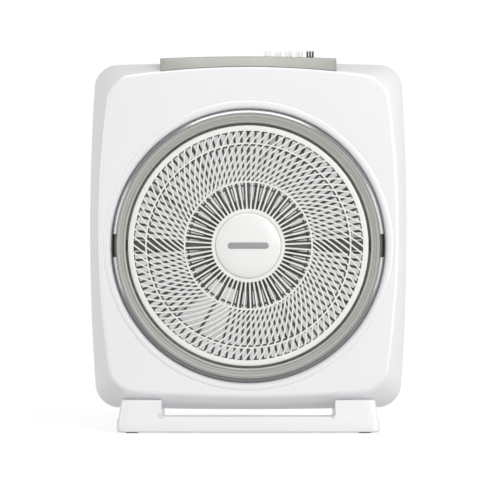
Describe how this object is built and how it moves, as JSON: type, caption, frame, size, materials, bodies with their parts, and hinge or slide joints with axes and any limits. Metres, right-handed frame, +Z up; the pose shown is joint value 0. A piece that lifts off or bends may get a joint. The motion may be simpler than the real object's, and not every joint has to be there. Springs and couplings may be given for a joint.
{
  "type": "box fan",
  "caption": "Upright box fan on a low stand, with a round turning louver grille in a guard ring, blades and motor inside, push buttons on top",
  "frame": {"origin": "on the floor, under the middle of the bounding box", "axes": "+Z up; the fan blows towards -Y, the front; +X is to the right seen from the front"},
  "size_m": [0.4034, 0.1592, 0.4794],
  "materials": {
    "white_plastic": "satin moulded, slightly cool white",
    "louver_plastic": "satin moulded, warm white",
    "grey_plastic": "satin moulded, olive grey",
    "dark_plastic": "matt moulded, charcoal",
    "blade_plastic": "glossy, smoke grey",
    "rubber": "matt black",
    "steel": "zinc plated",
    "motor_paint": "grey stoved",
    "core_steel": "laminated, oiled",
    "copper": "varnished winding wire"
  },
  "bodies": {
    "housing": {"capacitor_screw": "steel", "cord_inlet": "rubber", "foot_front_left": "rubber", "foot_front_right": "rubber", "foot_rear_left": "rubber", "foot_rear_right": "rubber", "front_bearing": "core_steel", "front_shell": "white_plastic", "front_winding": "copper", "louver_carrier": "grey_plastic", "louver_motor": "steel", "louver_motor_screw_1": "steel", "louver_motor_screw_2": "steel", "motor_front_cover": "motor_paint", "motor_rear_cover": "motor_paint", "motor_screw_1": "steel", "motor_screw_2": "steel", "motor_screw_3": "steel", "motor_screw_4": "steel", "rear_bearing": "core_steel", "rear_guard": "grey_plastic", "rear_shell": "white_plastic", "rear_winding": "copper", "run_capacitor": "dark_plastic", "shell_screw_1": "steel", "shell_screw_2": "steel", "shell_screw_3": "steel", "shell_screw_4": "steel", "shell_screw_5": "steel", "shell_screw_6": "steel", "stand": "white_plastic", "stand_screw_1": "steel", "stand_screw_2": "steel", "stand_screw_3": "steel", "stand_screw_4": "steel", "stator_core": "core_steel", "switch_block": "dark_plastic", "switch_screw_1": "steel", "switch_screw_2": "steel", "top_panel": "grey_plastic"},
    "rotor": {"motor_shaft": "steel", "rotor_core": "core_steel", "fan_blade": "blade_plastic", "blade_nut": "dark_plastic"},
    "louver": {"louver_grille": "louver_plastic", "hub_cap": "louver_plastic", "louver_shaft": "steel"},
    "key_1": {"button_1": "white_plastic"},
    "key_2": {"button_2": "white_plastic"},
    "key_3": {"button_3": "white_plastic"},
    "key_4": {"button_4": "white_plastic"},
    "key_5": {"button_5": "dark_plastic"}
  },
  "joints": [
    {"name": "blade_spin", "type": "hinge", "parent": "housing", "child": "rotor", "pos_m": [0, 0, 0.2345], "axis": [0, 1, 0], "continuous": true},
    {"name": "louver_spin", "type": "hinge", "parent": "housing", "child": "louver", "pos_m": [0, 0, 0.2345], "axis": [0, 1, 0], "continuous": true},
    {"name": "key_1_press", "type": "slide", "parent": "housing", "child": "key_1", "axis": [0, 0, -1], "range_m": [0, 0.004], "stiffness_N_per_m": 200},
    {"name": "key_2_press", "type": "slide", "parent": "housing", "child": "key_2", "axis": [0, 0, -1], "range_m": [0, 0.004], "stiffness_N_per_m": 200},
    {"name": "key_3_press", "type": "slide", "parent": "housing", "child": "key_3", "axis": [0, 0, -1], "range_m": [0, 0.004], "stiffness_N_per_m": 200},
    {"name": "key_4_press", "type": "slide", "parent": "housing", "child": "key_4", "axis": [0, 0, -1], "range_m": [0, 0.004], "stiffness_N_per_m": 200},
    {"name": "key_5_press", "type": "slide", "parent": "housing", "child": "key_5", "axis": [0, 0, -1], "range_m": [0, 0.004], "stiffness_N_per_m": 200}
  ]
}
